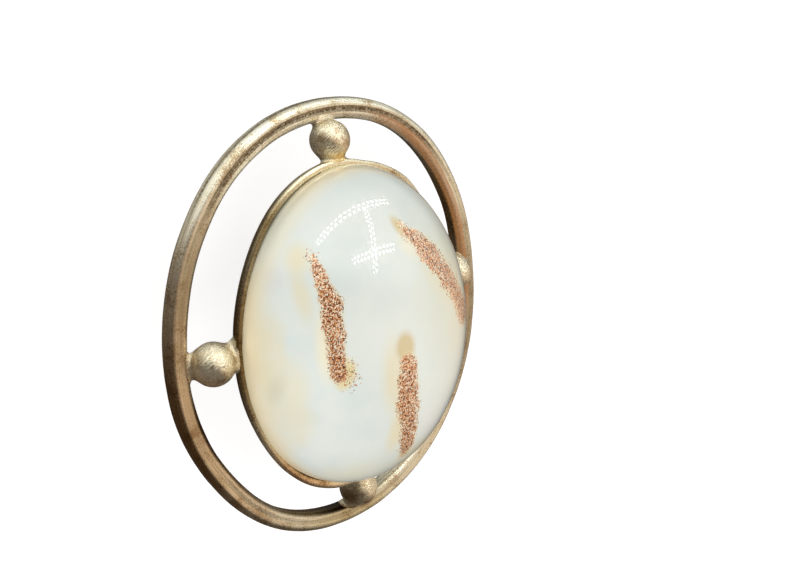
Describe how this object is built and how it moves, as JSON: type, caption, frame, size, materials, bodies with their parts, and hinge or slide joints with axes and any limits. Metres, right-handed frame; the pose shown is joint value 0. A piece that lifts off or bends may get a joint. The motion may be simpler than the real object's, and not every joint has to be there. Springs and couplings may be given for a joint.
{
  "type": "clip-on earring",
  "caption": "Clip-on earring: a domed oval glass cabochon in a shallow metal cup, held by balls inside an open oval ring, with a hinged ear clip behind.",
  "frame": {"origin": "on the surface that the closed clip rests on, below the middle of the outer box", "axes": "+X side to side as worn, +Y from the bottom ball to the top ball, +Z out of the stone's face"},
  "size_m": [0.0348, 0.04, 0.0175],
  "materials": {
    "antique_brass": "satin antique gold with darker grooves",
    "milk_glass": "glossy milky glass with copper aventurine streaks",
    "pin_brass": "plain dull",
    "clip_brass": "satin"
  },
  "bodies": {
    "earring": {"setting": "antique_brass", "cabochon": "milk_glass", "hinge_pin": "pin_brass"},
    "clip": {"clip_lever": "clip_brass"}
  },
  "joints": [
    {"name": "clip_hinge", "type": "hinge", "parent": "clip", "child": "earring", "pos_m": [0, -0.009, 0.0036], "axis": [1, 0, 0], "range_deg": [0, 80]}
  ]
}
